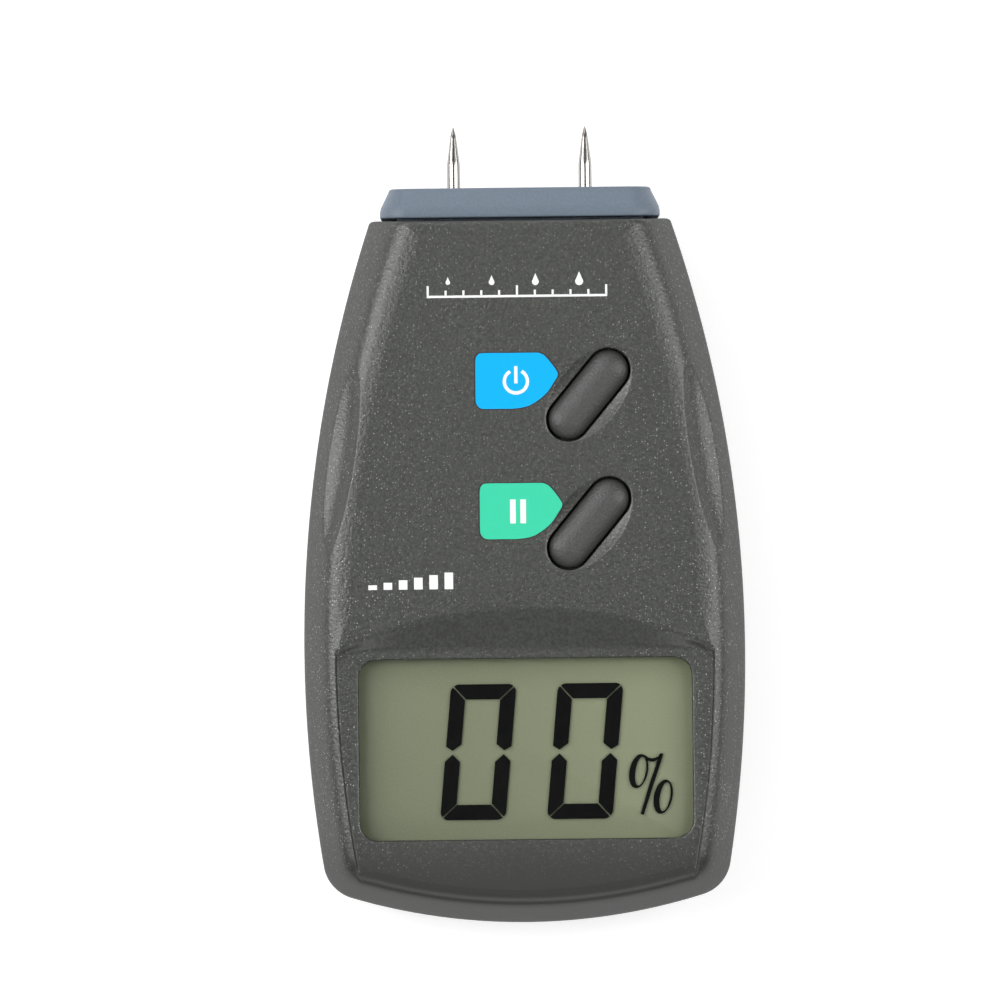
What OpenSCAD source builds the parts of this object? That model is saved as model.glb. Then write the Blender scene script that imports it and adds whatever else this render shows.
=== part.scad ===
// Handheld two-pin moisture meter, modelled lying on its back.
// X runs across the case, +Y towards the electrode pins, +Z out of the front face.
// Inside the modules, Y is measured from the lower end of the case; lay_down() moves
// the whole meter so that its origin is under the centre of its bounding box.

/* [Case] */
// Width of the case at its widest
case_w = 67; // [66:0.5:70]
// Length of the case from its lower end to the shoulder
case_l = 106.6; // [106:0.2:110]
// Thickness of the case, back to front face
case_t = 29.2; // [29.2:0.1:30]
// Thickness of the moulded walls
wall = 2; // [1.8:0.1:2.1]
// Height of the parting line between the two shells
part_z = 13; // [12:0.5:14]
// Distance of the widest point from the lower end
widest_y = 41.3; // [38:0.1:44]
// Radius of the long side curves
side_r = 205; // [200:1:230]
// Radius of the curved lower end
end_r = 92; // [88:1:100]

/* [Display] */
// Width of the display window opening
window_w = 50.3; // [48:0.1:51]
// Height of the display window opening
window_h = 27.3; // [26:0.1:28]
// Distance of the window opening from the lower end
window_y = 12.9; // [12.5:0.1:13.5]
// Depth of the recessed panel round the window
panel_depth = 0.8; // [0.6:0.1:1]

/* [Buttons] */
// Length of a button cap
button_l = 15.6; // [14:0.1:16]
// Width of a button cap
button_w = 6; // [5.5:0.1:6.2]
// Angle of the buttons from the X axis
button_angle = 50.4; // [45:0.1:55]
// How far a cap stands above the face
button_proud = 0.8; // [0.6:0.1:1]
// Travel of a button
button_travel = 0.5; // [0.3:0.1:0.5]

/* [Electrodes] */
// Distance between the two pins
pin_pitch = 20; // [18:0.5:22]
// Diameter of the exposed pins
pin_d = 2.05; // [1.8:0.05:2.2]
// Exposed length of the pins
pin_l = 9.5; // [9:0.5:12]
// Height of the electrode head above the shoulder
head_h = 4.8; // [4:0.1:6]

/* [Battery] */
// Width of the 9 V block battery
battery_w = 26.5; // [26:0.1:26.5]
// Thickness of the battery
battery_t = 17.5; // [16.5:0.1:17.5]
// Length of the battery can without its terminals
battery_l = 46; // [45:0.1:46.4]

/* [Hidden] */

$fn = 48;
case_grey = [0.22, 0.23, 0.21];
head_blue = [0.40, 0.46, 0.53];
steel = [0.75, 0.75, 0.74];
brass = [0.75, 0.62, 0.30];
overall_l = case_l + head_h + pin_l;

// Outer form: the outline shrinks from the silhouette to the edge of the flat face.
low_corner = 6;
low_corner_face = 4;
top_corner = 0.7;
face_side_r = 182;
face_inset = 4.4;
end_inset = 4.3;
top_inset = 0.5;
back_inset = 4;
front_round_z = 17;
back_round_z = 9;
front_sweep = 65;
back_sweep = 75;
round_steps = 7;

// Heights of the layers inside the case, from the back
door_gap = 0.2;
door_z = 0.2;
door_t = 1.8;
battery_z = 2.3;
bay_depth = 17.5;
foam_t = 0.6;
board_z = battery_z + bay_depth + foam_t;
board_t = 1.2;
board_top = board_z + board_t;
zebra_h = 1.8;
glass_z = board_top + zebra_h;
glass_t = 2.2;
panel_z = case_t - panel_depth;
bezel_t = 1.8;
pane_t = 0.8;
pane_w = 52.2;
pane_h = 29.8;
pane_y = 26.6;
pane_z = panel_z - bezel_t - pane_t;
switch_h = 2.5;
plunger_out = 0.8;
plunger_l = 1.7;
plunger_r = 1.7;
cap_z = board_top + switch_h + plunger_out;
flange_t = 0.9;
collar_z = cap_z + flange_t + 0.1;

// Button centres and the dish round each
power_at = [10, 79.9];
hold_at = [9.9, 60.5];
dish_l = 16.8;
dish_w = 9.8;
dish_depth = 1.2;
button_gap = 0.35;

// Electrode head
head_z = 14.6;
head_gap = 0.3;
shank_r = 1.5;
thread_r = 1.25;
flange_y = case_l - 3.6;

// Battery compartment
bay_half = 13.7;
bay_y0 = 8.8;
bay_y1 = 61.5;
bay_wall = 1.2;
door_y1 = 64;
door_half = 14.4;
wing_half = 15.6;
rail_half = 17.2;
battery_y = 9;
terminal_h = 2.5;
terminal_x = 6.35;
battery_mid_z = battery_z + battery_t / 2;
snap_y = battery_y + battery_l + terminal_h;
snap_t = 2.5;

// Fasteners
screw_r = 1.3;
screw_head_r = 2.3;
screw_head_h = 1.8;
screw_head_z = 4;
screw_top_z = 19.8;
case_screw_at = [[17, 98.5], [22.5, 12]];
board_screw_at = [[16.5, 89.5], [22, 46.2]];
board_screw_r = 1;

// Both outlines: two side arcs, a lower end arc and a flat shoulder, with the corners
// filleted. f goes from 0 at the silhouette to 1 at the edge of the face, and extra
// moves the whole outline inwards.
function lerp(a, b, f) = a + (b - a) * f;
function arc_points(c, r, a0, a1, n, first) =
    [for (i = [first:n]) let (a = a0 + (a1 - a0) * i / n) c + r * [cos(a), sin(a)]];
function angle_to(c, p) = atan2(p[1] - c[1], p[0] - c[0]);
// Lower right meeting point of a circle round a and a circle round b
function meet(a, ra, b, rb) =
    let (d = norm(b - a), u = (b - a) / d, m = (ra * ra - rb * rb + d * d) / (2 * d))
    a + m * u - sqrt(ra * ra - m * m) * [-u[1], u[0]];
function half_outline(f, extra, inset) =
    let (sr = lerp(side_r, face_side_r, f) - extra,
         half = case_w / 2 - inset * f - extra,
         side_c = [half - sr, widest_y],
         er = end_r - end_inset * f - extra,
         end_c = [0, end_r],
         cr = max(lerp(low_corner, low_corner_face, f) - extra, 1.5),
         low_c = meet(side_c, sr - cr, end_c, er - cr),
         tr = top_corner,
         top_y = case_l - top_inset * f - extra,
         dy = top_y - tr - widest_y,
         top_c = [side_c[0] + sqrt((sr - tr) * (sr - tr) - dy * dy), top_y - tr])
    concat(
        arc_points(end_c, er, -90, angle_to(end_c, low_c), 7, 0),
        arc_points(low_c, cr, angle_to(end_c, low_c), angle_to(side_c, low_c), 5, 1),
        arc_points(side_c, sr, angle_to(side_c, low_c), angle_to(side_c, top_c), 14, 1),
        arc_points(top_c, tr, angle_to(side_c, top_c), 90, 3, 1));
function outline(f, extra = 0, inset = face_inset) =
    let (h = half_outline(f, extra, inset), n = len(h))
    concat(h, [for (i = [n - 1:-1:1]) [-h[i][0], h[i][1]]]);
function ring(f, extra, inset, z) = [for (p = outline(f, extra, inset)) [p[0], p[1], z]];

// Closed skin through a list of rings with equal point counts, lowest first
module loft(rings) {
    n = len(rings[0]);
    k = len(rings);
    polyhedron(
        points = [for (r = rings) each r],
        faces = concat(
            [[for (i = [0:n - 1]) i]],
            [for (j = [0:k - 2], i = [0:n - 1]) let (q = (i + 1) % n)
                each [[j * n + i, (j + 1) * n + i, (j + 1) * n + q],
                      [j * n + i, (j + 1) * n + q, j * n + q]]],
            [[for (i = [n - 1:-1:0]) (k - 1) * n + i]]),
        convexity = 6);
}

// Front half of the form, with its surface moved in by extra
module front_form(extra, base_z) {
    loft(concat(
        [ring(0, extra, face_inset, base_z)],
        [for (i = [0:round_steps]) let (a = front_sweep * i / round_steps)
            ring((1 - cos(a)) / (1 - cos(front_sweep)), extra, face_inset,
                front_round_z + (case_t - extra - front_round_z) * sin(a) / sin(front_sweep))]));
}

// Back half of the form, with its surface moved in by extra
module back_form(extra, top_z) {
    loft(concat(
        [for (i = [round_steps:-1:0]) let (a = back_sweep * i / round_steps)
            ring((1 - cos(a)) / (1 - cos(back_sweep)), extra, back_inset,
                back_round_z - (back_round_z - extra) * sin(a) / sin(back_sweep))],
        [ring(0, extra, back_inset, top_z)]));
}

// Straight-sided slice of the form between two heights
module slice(extra, z0, z1) {
    translate([0, 0, z0]) linear_extrude(z1 - z0) polygon(outline(0, extra));
}

// Keeps a moulded shell together as one surface
module as_one_skin() resize([0, 0, 0]) children();

module lay_down() translate([0, -overall_l / 2, 0]) children();

module both_sides() {
    children();
    mirror([1, 0, 0]) children();
}

// Flat shape with round ends, centred, lying along X
module pill_2d(l, w) {
    square([l - w, w], center = true);
    for (s = [-1, 1]) translate([s * (l - w) / 2, 0]) circle(d = w);
}

module rounded_2d(w, h, r) {
    square([w - 2 * r, h], center = true);
    square([w, h - 2 * r], center = true);
    for (x = [-1, 1], y = [-1, 1]) translate([x * (w / 2 - r), y * (h / 2 - r)]) circle(r);
}

// Bar along +Y from y0 to y1 with a rounded section centred on x = 0 and height z
module bar_y(w, h, r, y0, y1, z) {
    translate([0, y0, z]) rotate([-90, 0, 0]) linear_extrude(y1 - y0) rounded_2d(w, h, r);
}

// Cylinder along +Y
module rod_y(x, y0, y1, z, r, fn = 48) {
    translate([x, y0, z]) rotate([-90, 0, 0]) cylinder(h = y1 - y0, r = r, $fn = fn);
}

// Box given by its lowest and highest corners
module block(a, b) translate(a) cube(b - a);

// Places a button-sized shape on its centre and turns it
module at_button(p) translate([p[0], p[1], 0]) rotate([0, 0, button_angle]) children();

// Smooth curve through a list of hand-set points
function curve_point(p, i, t) =
    let (a = p[max(i - 1, 0)], b = p[i], c = p[i + 1], d = p[min(i + 2, len(p) - 1)])
    0.5 * (2 * b + (c - a) * t + (2 * a - 5 * b + 4 * c - d) * t * t
        + (3 * b - a - 3 * c + d) * t * t * t);
function curve(p, steps) = concat(
    [for (i = [0:len(p) - 2], s = [0:steps - 1]) curve_point(p, i, s / steps)],
    [p[len(p) - 1]]);

// Round wire along a route that stays in a plane of constant x
module wire(route, r) {
    sides = 8;
    p = curve(route, 4);
    m = len(p);
    t = [for (i = [0:m - 1]) p[min(i + 1, m - 1)] - p[max(i - 1, 0)]];
    rings = [for (i = [0:m - 1]) let (u = t[i] / norm(t[i]), v = cross(u, [1, 0, 0]))
        [for (k = [0:sides - 1]) let (a = 360 * k / sides)
            p[i] + r * (cos(a) * [1, 0, 0] + sin(a) * v)]];
    polyhedron(
        points = [for (q = rings) each q],
        faces = concat(
            [[for (k = [sides - 1:-1:0]) k]],
            [for (i = [0:m - 2], k = [0:sides - 1]) let (q = (k + 1) % sides)
                each [[i * sides + k, i * sides + q, (i + 1) * sides + q],
                      [i * sides + k, (i + 1) * sides + q, (i + 1) * sides + k]]],
            [[for (k = [0:sides - 1]) (m - 1) * sides + k]]),
        convexity = 4);
}

// Long hollow for the fingertips along the edge of the face
module grip_scoop() {
    lower = [31.1, 51.8];
    upper = [24.9, 87.7];
    tilt = atan2(lower[0] - upper[0], upper[1] - lower[1]);
    outwards = 2.6;
    middle = (lower + upper) / 2 + outwards * [cos(tilt), sin(tilt)];
    translate([middle[0], middle[1], case_t + 2]) rotate([0, 0, tilt])
        scale([5.5, 24.1, 5.5]) sphere(1, $fn = 64);
}

// Lowered panel round the window; its upper edge is an arch and ramps up to the face
module panel_recess() {
    half = 28.6;
    ramp_y = 41.6;
    arch_y = 47.7;
    arch_half = 28;
    arch_r = (arch_half ^ 2 + (arch_y - ramp_y) ^ 2) / (2 * (arch_y - ramp_y));
    intersection() {
        linear_extrude(case_t + 5) polygon(outline(1, 0.3));
        hull() {
            block([-half, -5, panel_z], [half, ramp_y, case_t + 2]);
            translate([0, 0, case_t]) linear_extrude(2) intersection() {
                translate([0, arch_y - arch_r]) circle(arch_r, $fn = 240);
                translate([-arch_half, ramp_y]) square([2 * arch_half, 20]);
            }
        }
    }
}

// Shallow oval dish that a button sits in
module button_dish() {
    lift = 1.6;
    depth = dish_depth + lift;
    spread = 1 / sqrt(1 - (lift / depth) ^ 2);
    translate([0, 0, case_t + lift])
        scale([dish_l / 2 * spread, dish_w / 2 * spread, depth]) sphere(1, $fn = 64);
}

module window_2d() {
    translate([0, window_y + window_h / 2]) rounded_2d(window_w, window_h, 2.8);
}

module front_case() color(case_grey) {
    difference() {
        union() {
            as_one_skin() difference() {
                union() {
                    difference() {
                        front_form(0, part_z);
                        front_form(wall, part_z - 1);
                        slice(0.95, part_z - 1, part_z + 1.3);
                    }
                    // Thickened bezel behind the lowered panel
                    intersection() {
                        front_form(0.5, part_z);
                        block([-33, 3, pane_z + pane_t], [33, 49, case_t]);
                    }
                    // Collars that guide the buttons
                    for (p = [power_at, hold_at]) at_button(p)
                        translate([0, 0, collar_z]) linear_extrude(case_t - wall - collar_z + 0.5)
                            pill_2d(button_l + 3, button_w + 3);
                }
                panel_recess();
                both_sides() grip_scoop();
                for (p = [power_at, hold_at]) at_button(p) {
                    button_dish();
                    linear_extrude(40) pill_2d(button_l + 2 * button_gap, button_w + 2 * button_gap);
                }
                translate([0, 0, part_z]) linear_extrude(20) window_2d();
                // Seat of the display pane
                translate([0, pane_y, pane_z - 0.2]) linear_extrude(pane_t + 0.2)
                    rounded_2d(pane_w + 0.2, pane_h + 0.2, 1);
                // Opening for the neck of the electrode head
                block([-18.8, flange_y + 0.5, 6.4], [18.8, case_l + 1, 22.8]);
            }
            both_sides() {
                translate([case_screw_at[0][0], case_screw_at[0][1], part_z]) cylinder(h = 14.5, r = 3);
                translate([case_screw_at[1][0], case_screw_at[1][1], part_z]) cylinder(h = 7.2, r = 3);
                // Rib that ties the lower boss to the end wall
                block([case_screw_at[1][0] - 1, 4, part_z + 1.5],
                    [case_screw_at[1][0] + 1, case_screw_at[1][1] - 2, part_z + 7.2]);
                for (p = board_screw_at)
                    translate([p[0], p[1], board_top]) cylinder(h = case_t - wall - board_top + 0.4, r = 2.4);
            }
        }
        both_sides() {
            for (p = case_screw_at)
                translate([p[0], p[1], part_z - 1]) cylinder(h = screw_top_z - part_z + 1, r = screw_r);
            for (p = board_screw_at)
                translate([p[0], p[1], board_top - 1]) cylinder(h = 5, r = board_screw_r);
        }
    }
}

module back_case() color(case_grey) {
    lip_z = part_z + 1.2;
    difference() {
        union() {
            as_one_skin() difference() {
                union() {
                    // Tray with a locating lip inside the parting line
                    difference() {
                        union() {
                            back_form(0, part_z);
                            slice(1.05, part_z - 1, lip_z);
                        }
                        back_form(wall, lip_z + 1);
                    }
                    // Battery bay with the rails that the door slides under
                    difference() {
                        union() {
                            block([-bay_half - bay_wall, bay_y0 - bay_wall, 1],
                                [bay_half + bay_wall, bay_y1 + bay_wall, 20]);
                            block([-rail_half, bay_y0 - bay_wall, 1],
                                [rail_half, door_y1 + 1.5, 3.4]);
                        }
                        block([-bay_half, bay_y0, -1], [bay_half, bay_y1, 21]);
                        block([-4, bay_y1 - 1, 9], [4, bay_y1 + 2, 21]);
                    }
                }
                // Door opening, with a lip under each wing
                block([-door_half - door_gap, -5, -1], [door_half + door_gap, door_y1 + door_gap, 2.2]);
                block([-wing_half - door_gap, -5, 1.2], [wing_half + door_gap, door_y1 + door_gap, 2.2]);
                block([-18.8, flange_y + 0.5, 6.4], [18.8, case_l + 1, 22.8]);
            }
            both_sides() for (p = case_screw_at)
                translate([p[0], p[1], 1]) cylinder(h = part_z - 1, r = 3.5);
        }
        both_sides() for (p = case_screw_at) translate([p[0], p[1], 0]) {
            translate([0, 0, -1]) cylinder(h = screw_head_z + screw_head_h + 1, r = 2.6);
            cylinder(h = 40, r = screw_r + 0.15);
        }
    }
}

module battery_door() color(case_grey) {
    grooves = 5;
    groove_pitch = 2;
    as_one_skin() difference() {
        intersection() {
            back_form(0, part_z);
            union() {
                block([-door_half, -5, door_z], [door_half, door_y1, door_z + door_t]);
                block([-wing_half, -5, 1.35], [wing_half, door_y1, door_z + door_t]);
            }
        }
        for (i = [0:grooves - 1])
            block([-7, 12 + i * groove_pitch, -1], [7, 12.9 + i * groove_pitch, door_z + 0.5]);
    }
}

// Thin slab across Y with rounded corners, used to blend the head
module head_slab(w, h, r, y) bar_y(w, h, r, y, y + 0.4, head_z, $fn = 32);

module electrode_head() color(head_blue) {
    base_y = case_l + head_gap;
    difference() {
        union() {
            hull() {
                head_slab(42.4, 21.6, 4, base_y);
                head_slab(42, 21.2, 4, base_y + 1.6);
                head_slab(39.8, 19, 3.6, case_l + head_h - 0.8);
                head_slab(39, 18.2, 3.2, case_l + head_h - 0.4);
            }
            block([-18.7, flange_y + 1, 6.5], [18.7, base_y + 0.5, 22.7]);
            block([-19.6, flange_y, 5.6], [19.6, flange_y + 1.1, 23.6]);
        }
        for (s = [-1, 1]) {
            rod_y(s * pin_pitch / 2, flange_y - 1, flange_y + 3, head_z, thread_r);
            rod_y(s * pin_pitch / 2, flange_y + 2, case_l + head_h + 1, head_z, shank_r);
        }
    }
}

// Needle electrode: threaded end, shank bedded in the head, straight part, long taper and
// short point
module electrode_pin(side) color(steel) {
    root_y = case_l + head_h;
    straight = 0.4 * pin_l;
    point = 1.2;
    translate([side * pin_pitch / 2, 0, head_z]) rotate([-90, 0, 0]) rotate_extrude() polygon([
        [0, flange_y - 4.2], [thread_r, flange_y - 4.2], [thread_r, flange_y + 2],
        [shank_r, flange_y + 2], [shank_r, root_y], [pin_d / 2, root_y],
        [pin_d / 2, root_y + straight], [0.42, root_y + pin_l - point], [0.06, root_y + pin_l],
        [0, root_y + pin_l]]);
}

module pin_nuts() color(steel) {
    across_flats = 5.5;
    for (s = [-1, 1]) difference() {
        translate([s * pin_pitch / 2, flange_y - 3, head_z]) rotate([-90, 0, 0])
            cylinder(h = 2.4, d = across_flats / cos(30), $fn = 6);
        rod_y(s * pin_pitch / 2, flange_y - 4, flange_y, head_z, thread_r);
    }
}

module ring_terminals() color(brass) {
    for (s = [-1, 1]) difference() {
        union() {
            rod_y(s * pin_pitch / 2, flange_y - 0.6, flange_y, head_z, 3);
            block([s * pin_pitch / 2 - 1, flange_y - 0.6, head_z], [s * pin_pitch / 2 + 1, flange_y, head_z + 5]);
        }
        rod_y(s * pin_pitch / 2, flange_y - 2, flange_y + 1, head_z, thread_r);
    }
}

module electrode_lead(side) {
    x = side * pin_pitch / 2;
    wire([[x, flange_y - 0.65, 18.4], [x, 100, 18.6], [x, 97.5, 18], [x, 95, 17],
        [x, 92.8, 16.8], [x, 91.4, 18], [x, 91, board_z - 0.05]], 0.55);
}

module display_window() color([0.8, 0.85, 0.85, 0.35]) {
    translate([0, pane_y, pane_z]) linear_extrude(pane_t) rounded_2d(pane_w, pane_h, 1);
}

module lcd_glass() color([0.50, 0.53, 0.43]) {
    block([-25.9, 11.6, glass_z], [25.9, 41.6, glass_z + glass_t]);
}

module lcd_reflector() color([0.7, 0.72, 0.68]) {
    block([-24.6, 14.6, glass_z - 0.5], [24.6, 38.6, glass_z]);
}

module lcd_frame() color([0.15, 0.15, 0.15]) {
    translate([0, 26.6, board_top]) linear_extrude(glass_z + glass_t - board_top) difference() {
        rounded_2d(53, 31.4, 1);
        square([51.8, 30], center = true);
    }
}

module zebra_strip(y) color([0.3, 0.3, 0.32]) {
    block([-25, y, board_top], [25, y + 2.2, glass_z]);
}

module circuit_board() color([0.10, 0.35, 0.18]) {
    difference() {
        translate([0, 0, board_z]) linear_extrude(board_t) {
            translate([0, 30]) rounded_2d(52.6, 38.2, 1);
            translate([0, 70]) rounded_2d(38.6, 46, 1);
        }
        both_sides() for (p = board_screw_at)
            translate([p[0], p[1], board_z - 1]) cylinder(h = 4, r = board_screw_r + 0.15);
    }
}

module controller_chip() color([0.08, 0.08, 0.08]) {
    size = 10;
    pins_per_side = 10;
    pitch = 0.8;
    translate([-8, 70, board_top]) {
        translate([-size / 2, -size / 2, 0.1]) cube([size, size, 1.6]);
        for (turn = [0:90:270], i = [0:pins_per_side - 1]) rotate([0, 0, turn])
            translate([size / 2 - 0.1, (i - (pins_per_side - 1) / 2) * pitch - 0.2, 0]) cube([1.1, 0.4, 0.3]);
    }
}

module board_components() color([0.55, 0.45, 0.30]) {
    // Row of chip resistors and capacitors
    for (i = [0:5]) block([-15 + i * 3, 83, board_top], [-13.4 + i * 3, 84.2, board_top + 0.7]);
    for (i = [0:3]) block([-15 + i * 3, 56, board_top], [-13.4 + i * 3, 57.2, board_top + 0.9]);
    // Trimmer, crystal can and electrolytic capacitor
    block([-16, 76, board_top], [-12, 80, board_top + 2.4]);
    translate([-2, 88.5, board_top]) linear_extrude(2.5) pill_2d(8, 3.2);
    translate([-9, 89.5, board_top]) cylinder(h = 4.5, r = 2.1);
}

module tact_switch(p) color([0.12, 0.12, 0.12]) {
    size = 6;
    well_floor = cap_z - plunger_l - button_travel - 0.3;
    difference() {
        translate([p[0] - size / 2, p[1] - size / 2, board_top]) cube([size, size, switch_h]);
        translate([p[0], p[1], well_floor]) cylinder(h = switch_h, r = plunger_r + 0.15);
    }
}

module tact_plunger(p) color([0.35, 0.33, 0.30]) {
    translate([p[0], p[1], cap_z - plunger_l]) cylinder(h = plunger_l, r = plunger_r);
}

// Button cap: straight skirt with a retaining flange and a crowned top
module button_cap(p) color([0.20, 0.21, 0.20]) {
    r = button_w / 2;
    straight = (button_l - button_w) / 2;
    top_z = case_t + button_proud;
    crown = 1.8;
    steps = 6;
    profile = concat(
        [[0, cap_z], [r + 0.8, cap_z], [r + 0.8, cap_z + flange_t], [r, cap_z + flange_t]],
        [for (i = [0:steps]) let (a = 90 * i / steps) [r * cos(a), top_z - crown + crown * sin(a)]]);
    mirrored = [for (i = [len(profile) - 2:-1:1]) [-profile[i][0], profile[i][1]]];
    at_button(p) {
        for (s = [-1, 1]) translate([s * straight, 0, 0]) rotate_extrude() polygon(profile);
        translate([-straight, 0, 0]) rotate([90, 0, 90]) linear_extrude(2 * straight)
            polygon(concat(profile, mirrored));
    }
}

module battery() color([0.12, 0.12, 0.13]) {
    bar_y(battery_w, battery_t, 2, battery_y, battery_y + battery_l, battery_mid_z);
}

// One stud and one socket, nested the other way round in the snap
module stud(x, y0, y1) rod_y(x, y0, y1, battery_mid_z, 2.85);
module socket(x, y0, y1) difference() {
    rod_y(x, y0, y1, battery_mid_z, 3.9);
    rod_y(x, y0 - 1, y1 + 1, battery_mid_z, 2.85);
}

module battery_terminals() color(steel) {
    y0 = battery_y + battery_l;
    stud(-terminal_x, y0, y0 + terminal_h - 0.2);
    socket(terminal_x, y0, y0 + terminal_h - 0.2);
}

module snap_contacts() color(steel) {
    y0 = battery_y + battery_l;
    socket(-terminal_x, y0 + 0.2, snap_y);
    stud(terminal_x, y0 + 0.2, snap_y);
}

module battery_snap() color([0.08, 0.08, 0.08]) {
    bar_y(25.6, 12.6, 2, snap_y, snap_y + snap_t, battery_mid_z);
}

module battery_foam() color([0.25, 0.25, 0.27]) {
    block([-10, 15, board_z - foam_t], [10, 50, board_z]);
}

module battery_lead(x) {
    wire([[x, snap_y + snap_t, battery_mid_z], [x, 63, 11], [x, 66, 11.6], [x, 69, 13.6],
        [x, 71.2, 16.6], [x, 72, board_z - 0.15]], 0.65);
}

// Pan-head screw standing on its head at height z0
module screw(r, head_r, head_h, z0, z1) {
    slot = head_r * 0.3;
    difference() {
        union() {
            translate([0, 0, z0]) cylinder(h = head_h, r = head_r);
            translate([0, 0, z0]) cylinder(h = z1 - z0, r = r);
        }
        for (turn = [0, 90]) rotate([0, 0, turn])
            block([-head_r * 0.6, -slot / 2, z0 - 1], [head_r * 0.6, slot / 2, z0 + head_h * 0.5]);
    }
}

module case_screws() color(steel) {
    both_sides() for (p = case_screw_at) translate([p[0], p[1], 0])
        screw(screw_r, screw_head_r, screw_head_h, screw_head_z, screw_top_z);
}

module board_screws() color(steel) {
    both_sides() for (p = board_screw_at) translate([p[0], p[1], 0])
        screw(board_screw_r, 1.9, 1.2, board_z - 1.2, board_top + 4);
}

lay_down() front_case();
lay_down() back_case();
lay_down() battery_door();
lay_down() electrode_head();
lay_down() electrode_pin(-1);  // electrode_pin_left
lay_down() electrode_pin(1);  // electrode_pin_right
lay_down() pin_nuts();
lay_down() ring_terminals();
color("white") lay_down() electrode_lead(-1);  // electrode_lead_left
color("gray") lay_down() electrode_lead(1);  // electrode_lead_right
lay_down() display_window();
lay_down() lcd_glass();
lay_down() lcd_reflector();
lay_down() lcd_frame();
lay_down() zebra_strip(39);  // zebra_strip_upper
lay_down() zebra_strip(12);  // zebra_strip_lower
lay_down() circuit_board();
lay_down() controller_chip();
lay_down() board_components();
lay_down() tact_switch(power_at);  // power_switch
lay_down() tact_switch(hold_at);  // hold_switch
lay_down() tact_plunger(power_at);  // power_plunger
lay_down() tact_plunger(hold_at);  // hold_plunger
lay_down() button_cap(power_at);  // power_button
lay_down() button_cap(hold_at);  // hold_button
lay_down() battery();
lay_down() battery_terminals();
lay_down() battery_foam();
lay_down() battery_snap();
lay_down() snap_contacts();
color("red") lay_down() battery_lead(2.4);  // battery_lead_red
color("black") lay_down() battery_lead(-2.4);  // battery_lead_black
lay_down() case_screws();
lay_down() board_screws();
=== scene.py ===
import math

import bmesh
import bpy
import numpy as np
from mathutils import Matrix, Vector
from mathutils.geometry import delaunay_2d_cdt


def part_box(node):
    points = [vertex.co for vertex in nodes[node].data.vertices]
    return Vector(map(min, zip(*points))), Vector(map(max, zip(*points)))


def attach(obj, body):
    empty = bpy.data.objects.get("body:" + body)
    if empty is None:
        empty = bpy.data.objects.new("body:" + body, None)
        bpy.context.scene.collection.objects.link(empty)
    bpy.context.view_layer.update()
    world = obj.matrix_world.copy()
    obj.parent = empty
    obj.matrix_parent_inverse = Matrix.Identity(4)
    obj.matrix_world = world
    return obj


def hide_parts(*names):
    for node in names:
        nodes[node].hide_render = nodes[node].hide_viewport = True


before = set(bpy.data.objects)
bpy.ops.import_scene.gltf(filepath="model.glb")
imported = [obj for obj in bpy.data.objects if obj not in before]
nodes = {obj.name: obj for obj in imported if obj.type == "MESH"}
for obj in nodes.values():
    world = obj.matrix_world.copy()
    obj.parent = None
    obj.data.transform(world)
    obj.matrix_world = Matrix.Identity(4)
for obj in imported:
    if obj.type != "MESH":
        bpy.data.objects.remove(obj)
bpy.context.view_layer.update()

# A handheld two-pin moisture meter, lying on its back. Lengths are in millimetres up to
# the moment a mesh is made, and Y is measured from the lower end of the case.

MM = 0.001


def node_box(name):
    """Lowest and highest corner of a CAD node in millimetres."""
    low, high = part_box(name)
    return np.array(low) / MM, np.array(high) / MM


# ---------------------------------------------------------------- driving dimensions
case_low, case_high = node_box("front_case")
LOWER_END = case_low[1]
CASE_W = case_high[0] - case_low[0]
CASE_L = case_high[1] - case_low[1]
CASE_T = case_high[2]
PART_Z = case_low[2]
WALL = 2.0

WIDEST_Y = 41.3
SIDE_R, FACE_SIDE_R = 205.0, 182.0
END_R = 92.0
LOW_CORNER, LOW_CORNER_FACE = 6.0, 4.0
TOP_CORNER = 0.7
FACE_INSET, BACK_INSET = 4.4, 4.0
END_INSET, TOP_INSET = 4.3, 0.5
FRONT_ROUND_Z, BACK_ROUND_Z = 17.0, 9.0
FRONT_SWEEP, BACK_SWEEP = math.radians(65), math.radians(75)
CREASE_SOFTNESS = 0.65
RIM_BY_BUTTONS, RIM_BY_WINDOW = 3.2, 1.15

PANEL_DEPTH = 0.8
PANEL_Z = CASE_T - PANEL_DEPTH
RAMP_Y, ARCH_Y, ARCH_HALF = 41.6, 47.7, 28.3
WINDOW_W, WINDOW_H, WINDOW_Y, WINDOW_R = 50.3, 27.3, 12.9, 2.8
WINDOW_EDGE = 0.3

BUTTON_ANGLE = math.radians(50.4)
BUTTON_L, BUTTON_W = 15.6, 6.0
BUTTON_GAP = 0.35
BUTTONS = {"power": (10.0, 79.9), "hold": (9.9, 60.5)}
DISH_L, DISH_W, DISH_DEPTH, DISH_LIFT = 16.8, 9.8, 1.2, 1.6
HOLE_EDGE = 0.15

pane_low, pane_high = node_box("display_window")
INNER_Z = pane_high[2]


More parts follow.
